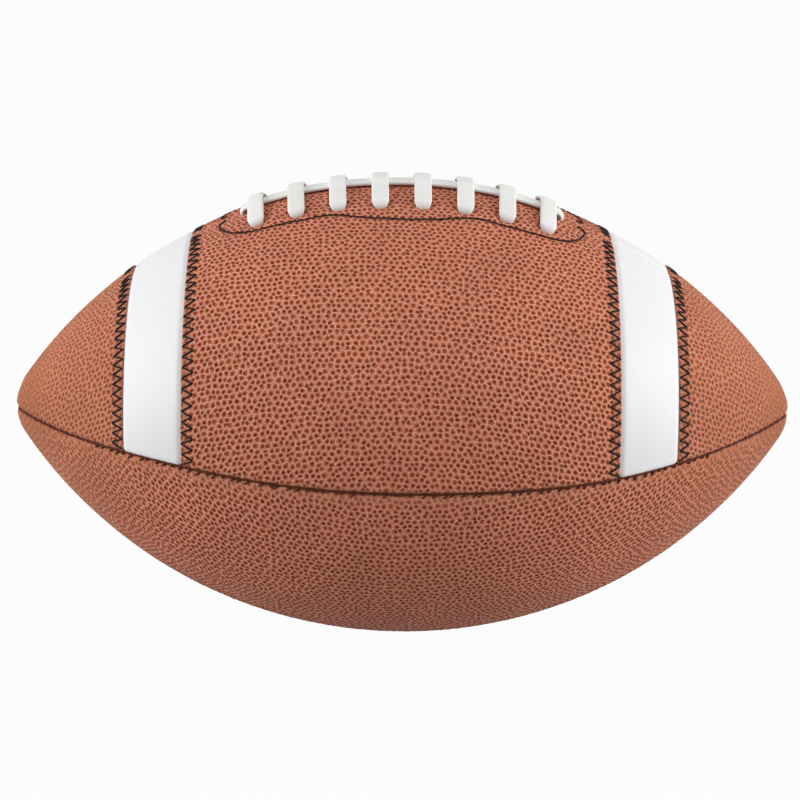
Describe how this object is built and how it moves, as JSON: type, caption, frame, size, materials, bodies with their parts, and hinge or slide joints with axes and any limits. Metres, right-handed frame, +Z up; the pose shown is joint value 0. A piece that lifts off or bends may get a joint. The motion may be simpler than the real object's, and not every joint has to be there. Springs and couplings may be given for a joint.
{
  "type": "american football",
  "caption": "Pebbled brown leather football with pointed ends, white stripes let into the upper panels, black zigzag stitching and a white laced opening over a rubber bladder.",
  "frame": {"origin": "the lowest point of the ball, at the middle of the bottom seam", "axes": "+X from the left tip to the right tip, +Y to the back, +Z up through the middle of the lacing"},
  "size_m": [0.288, 0.1672, 0.1732],
  "materials": {
    "brown_leather": "pebbled, satin",
    "white_leather": "pebbled, satin",
    "white_lace": "flat woven lace with a grippy coating",
    "dark_cloth": "tight weave; also the sewing thread",
    "lining_cloth": "plain weave",
    "black_rubber": "matt"
  },
  "bodies": {
    "root": {"upper_front_center": "brown_leather", "upper_back_center": "brown_leather", "upper_front_tip_left": "brown_leather", "upper_front_tip_right": "brown_leather", "upper_back_tip_left": "brown_leather", "upper_back_tip_right": "brown_leather", "lower_front_panel": "brown_leather", "lower_back_panel": "brown_leather", "upper_front_stripe_left": "white_leather", "upper_front_stripe_right": "white_leather", "upper_back_stripe_left": "white_leather", "upper_back_stripe_right": "white_leather", "lining_upper_front": "lining_cloth", "lining_upper_back": "lining_cloth", "lining_lower_front": "lining_cloth", "lining_lower_back": "lining_cloth", "lace_facing_front": "dark_cloth", "lace_facing_back": "dark_cloth", "lace_guard": "dark_cloth", "lace": "white_lace", "bladder": "black_rubber", "valve": "black_rubber"}
  },
  "joints": []
}
